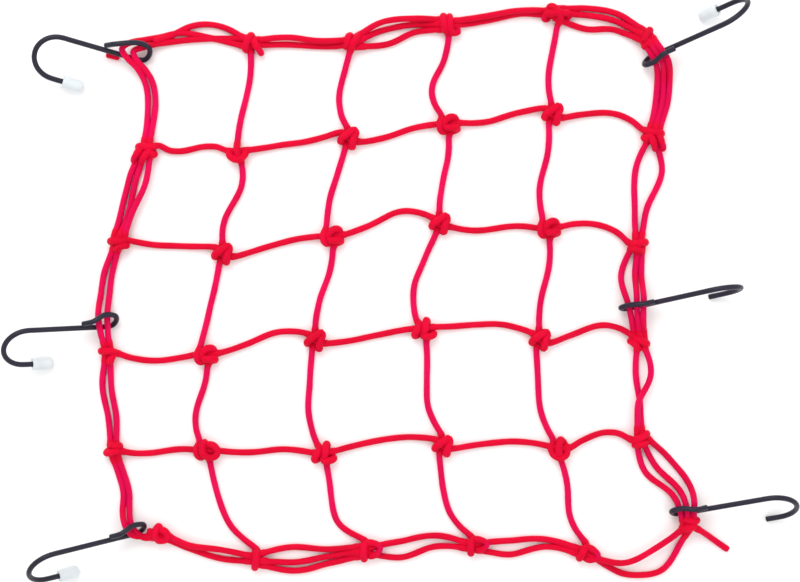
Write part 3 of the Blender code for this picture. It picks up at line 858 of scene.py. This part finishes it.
def corner_strand(start, lane_start, route, end, lane_end):
    """The path of a strand that turns in a hook's eye, or runs on to a cut end."""
    route = [np.array(place, float) for place in route]
    ends = []
    for knot, doorway, lane, turned in (
        (start, route[0], lane_start, 1),
        (end, route[-1], lane_end, -1),
    ):
        if lane is None:
            continue
        centre = np.array(KNOTS[knot[0]][knot[1]])
        way = (doorway - centre) / np.linalg.norm(doorway - centre)
        ends.append(centre + np.array((-way[1], way[0])) * turned * lane * LANE)
    return raised([ends[0], *route, *ends[1:]], 0, lane_start == 0)


def from_knots(path):
    """How far each place of the path is from the nearest knot's middle, seen from above."""
    spots = np.array([spot for spots in KNOTS for spot in spots if spot])
    return np.linalg.norm(path[:, None, :2] - spots[None], axis=2).min(axis=1)


def rounded(path):
    """The path with its bends between the knots rounded, as springy cord lies.

    Each place moves to the mean of the places along the path, weighted by a bell curve of
    their distance. It moves the full way far from the knots, and not at all in them.
    """
    count = int(round(BELL_REACH * BEND_REACH / CORD_STEP))
    places = np.arange(-count, count + 1) * CORD_STEP / BEND_REACH
    weights = np.exp(-(places**2) / 2)
    weights /= weights.sum()
    padded = np.vstack([path[:1].repeat(count, 0), path, path[-1:].repeat(count, 0)])
    mean = np.stack([np.convolve(padded[:, axis], weights, "valid") for axis in range(3)], axis=1)
    free = ease((from_knots(path) - KNOT_SIZE) / BEND_REACH / 2)
    return path + (mean - path) * free[:, None]


def living(path, rng):
    """The path with a slight wander, its radius, and the share of its slant that counts.

    The radius swells and thins a little, and grows in a knot. In a knot less of the slant counts, so the
    cord there gets less painted pinker light.
    """
    run = np.arange(len(path)) * CORD_STEP
    wander = sum(
        np.sin(run / length + rng.uniform(0, WAVE_START))[:, None] * rng.normal(size=3)
        for length in WANDER_LENGTHS
    )
    wander[:, 2] *= WANDER_UP
    swell = sum(
        np.sin(run / length + rng.uniform(0, WAVE_START))
        for length in SWELL_LENGTHS
    )
    knotted = ease((KNOT_SIZE - from_knots(path)) / KNOT_EDGE)
    radii = CORD_RADIUS * (1 + swell * CORD_SWELL / len(SWELL_LENGTHS) + knotted * KNOT_SWELL)
    strayed = path + wander * CORD_WOBBLE / len(WANDER_LENGTHS)
    return strayed, radii, 1 - knotted * KNOT_PAINTED_LIGHT_LOSS


def cord(points, rng, ready=False):
    """A cord's tube through the points, or along a path that is ready."""
    path = points if ready else rounded(smooth(points, CORD_STEP))
    path, radii, lean = living(path, rng)
    path[:, 2] = np.maximum(path[:, 2], radii)
    return tube(path, radii, CORD_SIDES, CORD_END, lean)


def hook_path(hook):
    """The middle of a hook's wire, from the cut end at its eye to its tip."""
    _, _, _, _, reach, bend_side, eye_side, eye_length, tip, _ = hook
    start, ahead, slope = shank_line(hook)
    left = np.array((-ahead[1], ahead[0], 0.0))
    up = np.array((0.0, 0.0, 1.0))
    out = ahead * math.cos(slope) + up * math.sin(slope)
    above = up * math.cos(slope) - ahead * math.sin(slope)
    drop = math.sqrt(J_WIDTH**2 - bend_side**2)
    bend_way = (left * bend_side - above * drop) / J_WIDTH
    eye_way = above * EYE_HEIGHT - left * eye_side
    height_left, side_left = EYE_NARROW
    narrow_way = above * EYE_HEIGHT * height_left - left * eye_side * side_left

    def shank(run):
        return start + up * EYE_START + out * run

    path = [
        shank(eye_length) + eye_way / np.linalg.norm(eye_way) * EYE_CLOSE,
        shank(eye_length - EYE_NARROWS) + narrow_way,
        *[shank(run) + eye_way * share for run, share in EYE_BEND],
    ]
    bend_run = reach - J_DEPTH
    path += [shank(bend_run * share) for share in SHANK_SHARES]
    middle = shank(bend_run) + bend_way * (J_WIDTH / 2)
    for step in range(J_STEPS + 1):
        turn = math.pi * step / J_STEPS
        across = -math.cos(turn) * J_WIDTH / 2
        path.append(middle + bend_way * across + out * math.sin(turn) * J_DEPTH)
    path.append(path[-1] - out * tip)
    return smooth(path, WIRE_STEP)


def turned(base, way, profile, sides):
    """A closed shape turned about an axis: points, faces, corners and slants, as of a tube.

    Each row of the profile is the way out along the axis, and the radius there.
    """
    side = np.cross(way, (0.0, 0.0, 1.0))
    side /= np.linalg.norm(side)
    up = np.cross(way, side)
    turn = np.arange(sides) * 2 * math.pi / sides
    circle = side * np.cos(turn)[:, None] + up * np.sin(turn)[:, None]
    points = np.vstack([base + way * out + circle * radius for out, radius in profile])
    faces, corners = [], []
    rows = len(profile)
    for row in range(rows - 1):
        for k in range(sides):
            after = (k + 1) % sides
            faces.append((row * sides + k, row * sides + after,
                          (row + 1) * sides + after, (row + 1) * sides + k))
            low, high = profile[row][0], profile[row + 1][0]
            corners += [(k / sides, low), ((k + 1) / sides, low),
                        ((k + 1) / sides, high), (k / sides, high)]
    for pole, row, flip in ((profile[0][0], 0, True), (profile[-1][0], rows - 1, False)):
        points = np.vstack([points, base + way * pole])
        for k in range(sides):
            pair = (row * sides + k, row * sides + (k + 1) % sides)
            faces.append((len(points) - 1, *(pair[::-1] if flip else pair)))
            corners += [(0.5, pole)] * 3
    return points, faces, np.array(corners), np.zeros(len(points))


def cap_profile():
    """A soft cap: out of its bore, over a rounded lip, along its side and round its end."""
    bore = WIRE_RADIUS + BORE_GAP
    depth = CAP_GRIP + BORE_PAST
    profile = [(depth, bore * BORE_END), (depth, bore), (LIP_ROUND, bore)]
    wall_middle, wall_half = (bore + CAP_RADIUS) / 2, (CAP_RADIUS - bore) / 2
    for step in range(LIP_STEPS + 1):
        turn = math.pi * step / LIP_STEPS
        out = LIP_ROUND - LIP_ROUND * math.sin(turn)
        profile.append((out, wall_middle - math.cos(turn) * wall_half * LIP_SHARE))
    for share in CAP_SHARES:
        profile.append((CAP_LENGTH * share, CAP_RADIUS * (1 - CAP_TAPER * share)))
    for step in range(END_STEPS + 1):
        turn = math.pi / 2 * step / END_STEPS
        out = CAP_LENGTH - END_ROUND + END_ROUND * math.sin(turn)
        radius = CAP_RADIUS * (1 - CAP_TAPER) - END_ROUND * (1 - math.cos(turn))
        profile.append((out, radius))
    profile.append((CAP_LENGTH, END_FLAT))
    return profile


class Nodes:
    """Short ways of adding shader nodes to one material."""

    def __init__(self, name):
        self.material = bpy.data.materials.new(name)
        self.material.use_nodes = True
        self.tree = self.material.node_tree
        self.shader = self.tree.nodes["Principled BSDF"]

    def add(self, kind, inputs=(), **settings):
        node = self.tree.nodes.new(kind)
        for key, value in settings.items():
            setattr(node, key, value)
        for key, value in dict(inputs).items():
            if isinstance(value, bpy.types.NodeSocket):
                self.tree.links.new(value, node.inputs[key])
            else:
                node.inputs[key].default_value = value
        return node

    def math(self, operation, a, b=0.0):
        return self.add("ShaderNodeMath", {0: a, 1: b}, operation=operation).outputs[0]

    def mix(self, factor, a, b):
        node = self.add("ShaderNodeMix", {0: factor, 6: a, 7: b}, data_type="RGBA")
        return node.outputs[2]

    def noise(self, scale, detail):
        """Noise fixed to the object, in lumps of about one metre divided by the scale."""
        place = self.add("ShaderNodeTexCoord").outputs["Object"]
        settings = {"Vector": place, "Scale": scale, "Detail": detail}
        return self.add("ShaderNodeTexNoise", settings).outputs[0]

    def set(self, key, value):
        self.shader.inputs[key].default_value = value

    def link(self, value, key):
        self.tree.links.new(value, self.shader.inputs[key])

    def bump(self, height, distance, strength):
        """Relief in the surface: the distance is what a height of 1 stands for, in metres."""
        settings = {"Height": height, "Distance": distance, "Strength": strength}
        self.link(self.add("ShaderNodeBump", settings).outputs[0], "Normal")


def cord_material():
    """Braided sheath: two families of yarns that lean opposite ways and pass over each other."""
    made = Nodes("braided red cord")
    uv = made.add("ShaderNodeUVMap", uv_map="sheath").outputs[0]
    split = made.add("ShaderNodeSeparateXYZ", {0: uv})
    around = made.math("MULTIPLY", split.outputs[0], BRAID_AROUND * 2 * math.pi)
    along = made.math("MULTIPLY", split.outputs[1], 2 * math.pi / BRAID_PITCH)
    one = made.math("COSINE", made.math("ADD", around, along))
    other = made.math("COSINE", made.math("SUBTRACT", around, along))
    over = made.math("GREATER_THAN", made.math("SINE", made.math("MULTIPLY", around, 0.5)), 0.0)
    braid = made.math("MAXIMUM", one, made.math("MULTIPLY", other, BRAID_UNDER))
    braid = made.math("ADD", braid, made.math("MULTIPLY", over, BRAID_CROSS))
    low, high = BRAID_GROOVE
    groove_painted_shade = made.add("ShaderNodeMapRange", {0: braid, 1: low, 2: high, 3: 1.0, 4: 0.0}).outputs[0]
    blotch = made.noise(45.0, 2.0)
    painted_light_slant = made.add("ShaderNodeAttribute", attribute_name="painted_light_slant").outputs["Fac"]
    across = made.mix(blotch, *CORD_ACROSS)
    down = made.mix(blotch, *CORD_DOWN_PAINTED_LIGHT)
    # Painted pinker light on the cords that run down the net, growing with their slant
    tone_and_painted_light = made.mix(made.math("POWER", painted_light_slant, TINT_BEND), across, down)
    # Painted shade darkens the braid's grooves
    colour = made.mix(made.math("MULTIPLY", groove_painted_shade, BRAID_SHADE), tone_and_painted_light, CORD_GROOVE_PAINTED_SHADE)
    made.link(colour, "Base Color")
    made.set("Roughness", 0.55)
    made.set("Sheen Weight", 0.04)
    made.set("Sheen Roughness", 0.4)
    made.set("Sheen Tint", CORD_SHEEN)
    made.set("Specular IOR Level", 0.06)
    fuzz = made.math("MULTIPLY", made.noise(2600.0, 3.0), FUZZ_HEIGHT)
    made.bump(made.math("ADD", braid, fuzz), 0.00022, 0.8)
    return made.material


def wire_material():
    """Dark coating on the wire, satin and a little uneven."""
    made = Nodes("dark wire coating")
    wear = made.noise(60.0, 4.0)
    made.link(made.mix(wear, *WIRE_DARK), "Base Color")
    smoothest, roughest = WIRE_GLOSS
    rough = made.add("ShaderNodeMapRange", {0: wear, 3: smoothest, 4: roughest}).outputs[0]
    made.link(rough, "Roughness")
    made.set("Specular IOR Level", 0.3)
    made.bump(made.noise(260.0, 3.0), 0.00012, 0.5)
    return made.material


def steel_material():
    """Bare steel, with fine marks, where the wire was cut."""
    made = Nodes("cut steel")
    marks = made.noise(1500.0, 3.0)
    made.link(made.mix(marks, *CUT_STEEL), "Base Color")
    made.set("Metallic", 0.9)
    made.set("Roughness", 0.42)
    made.bump(marks, 0.00006, 0.5)
    return made.material


def cap_material():
    """Soft milky plastic, a little cloudy, that lets some light in."""
    made = Nodes("milky cap")
    cloud = made.noise(160.0, 3.0)
    made.link(made.mix(cloud, *CAP_MILK), "Base Color")
    made.set("Roughness", 0.34)
    made.set("Subsurface Weight", 0.35)
    made.set("Subsurface Radius", (1.0, 1.0, 1.0))
    made.set("Subsurface Scale", 0.002)
    made.set("Transmission Weight", 0.2)
    made.bump(cloud, 0.0001, 0.4)
    return made.material


def build_net(finish):
    """The net in four meshes: the cords across, those down, the border and its corner ties."""
    rng = np.random.default_rng(WANDER_SEED)
    across = [cord(cord_across(row), rng) for row in range(1, LAST)]
    join("cords_across", across, finish, ["net"])
    down = [cord(cord_down(column), rng) for column in range(1, LAST)]
    join("cords_down", down, finish, ["net"])
    border = [cord(border_strand(*row), rng, True) for row in BORDER]
    border += [cord(corner_strand(*row), rng, True) for row in CORNER_STRANDS]
    border.append(cord(STUB, rng))
    join("border_cords", border, finish, ["net"])
    ties = [cord(tied_points(*knot)[1:], rng) for knot in CORNER_TIES]
    join("corner_ties", ties, finish, ["net"])


def build_hooks(coating, steel, milky):
    """The hooks' wires, bare steel at their cut ends, and the soft caps on four of them.

    A wire that would dip under the surface is lifted onto it, with its cap.
    """
    for hook in HOOKS:
        name, *_, cap = hook
        path = hook_path(hook)
        radii = np.full(len(path), WIRE_RADIUS)
        points, faces, corners, painted_light_slant = tube(path, radii, WIRE_SIDES, WIRE_END)
        settle = max(0.0, -points[:, 2].min())
        points[:, 2] += settle
        shape = (points, faces, corners, painted_light_slant)
        wire = join(f"wire_{name}", [shape], coating, [f"hook_{name}"])
        wire.data.materials.append(steel)
        rings = len(path) + 2 * len(WIRE_END)
        lowest = np.array([min(face) for face in faces])
        bare = (lowest < WIRE_SIDES) | (lowest >= (rings - 2) * WIRE_SIDES)
        wire.data.polygons.foreach_set("material_index", bare.astype(np.int32))
        if cap:
            way = path[-1] - path[-2]
            way /= np.linalg.norm(way)
            base = path[-1] - way * CAP_GRIP
            base[2] += settle
            shape = turned(base, way, cap_profile(), CAP_SIDES)
            join(f"soft_cap_{name}", [shape], milky, [f"cap_{name}"])


def build_stage():
    """A pale floor, a white sky, two large lamps and a camera straight above the net."""
    bpy.ops.mesh.primitive_plane_add(size=FLOOR_SIZE, location=(0.0, 0.0, 0.0))
    floor = bpy.context.object
    floor.name = "floor"
    made = Nodes("pale floor")
    made.set("Base Color", FLOOR_PALE)
    made.set("Roughness", 0.9)
    floor.data.materials.append(made.material)
    for name, place, size, power, colour in LAMPS:
        lamp = bpy.data.lights.new(name, "AREA")
        lamp.size = size
        lamp.energy = power
        lamp.color = colour
        light = bpy.data.objects.new(name, lamp)
        light.location = place
        light.rotation_mode = "QUATERNION"
        light.rotation_quaternion = Vector(place).to_track_quat("Z", "Y")
        bpy.context.scene.collection.objects.link(light)
    world = bpy.data.worlds.new("studio")
    world.use_nodes = True
    sky = world.node_tree.nodes["Background"]
    sky.inputs["Color"].default_value = SKY_WHITE
    sky.inputs["Strength"].default_value = SKY_POWER
    bpy.context.scene.world = world
    bpy.context.scene.view_settings.view_transform = "Standard"
    lens = bpy.data.cameras.new("camera")
    lens.lens = CAMERA_LENS
    lens.sensor_width = FILM_WIDTH
    camera = bpy.data.objects.new("camera", lens)
    camera.location = (0.0, 0.0, CAMERA_HEIGHT)
    bpy.context.scene.collection.objects.link(camera)
    bpy.context.scene.camera = camera


build_net(cord_material())
build_hooks(wire_material(), steel_material(), cap_material())
build_stage()
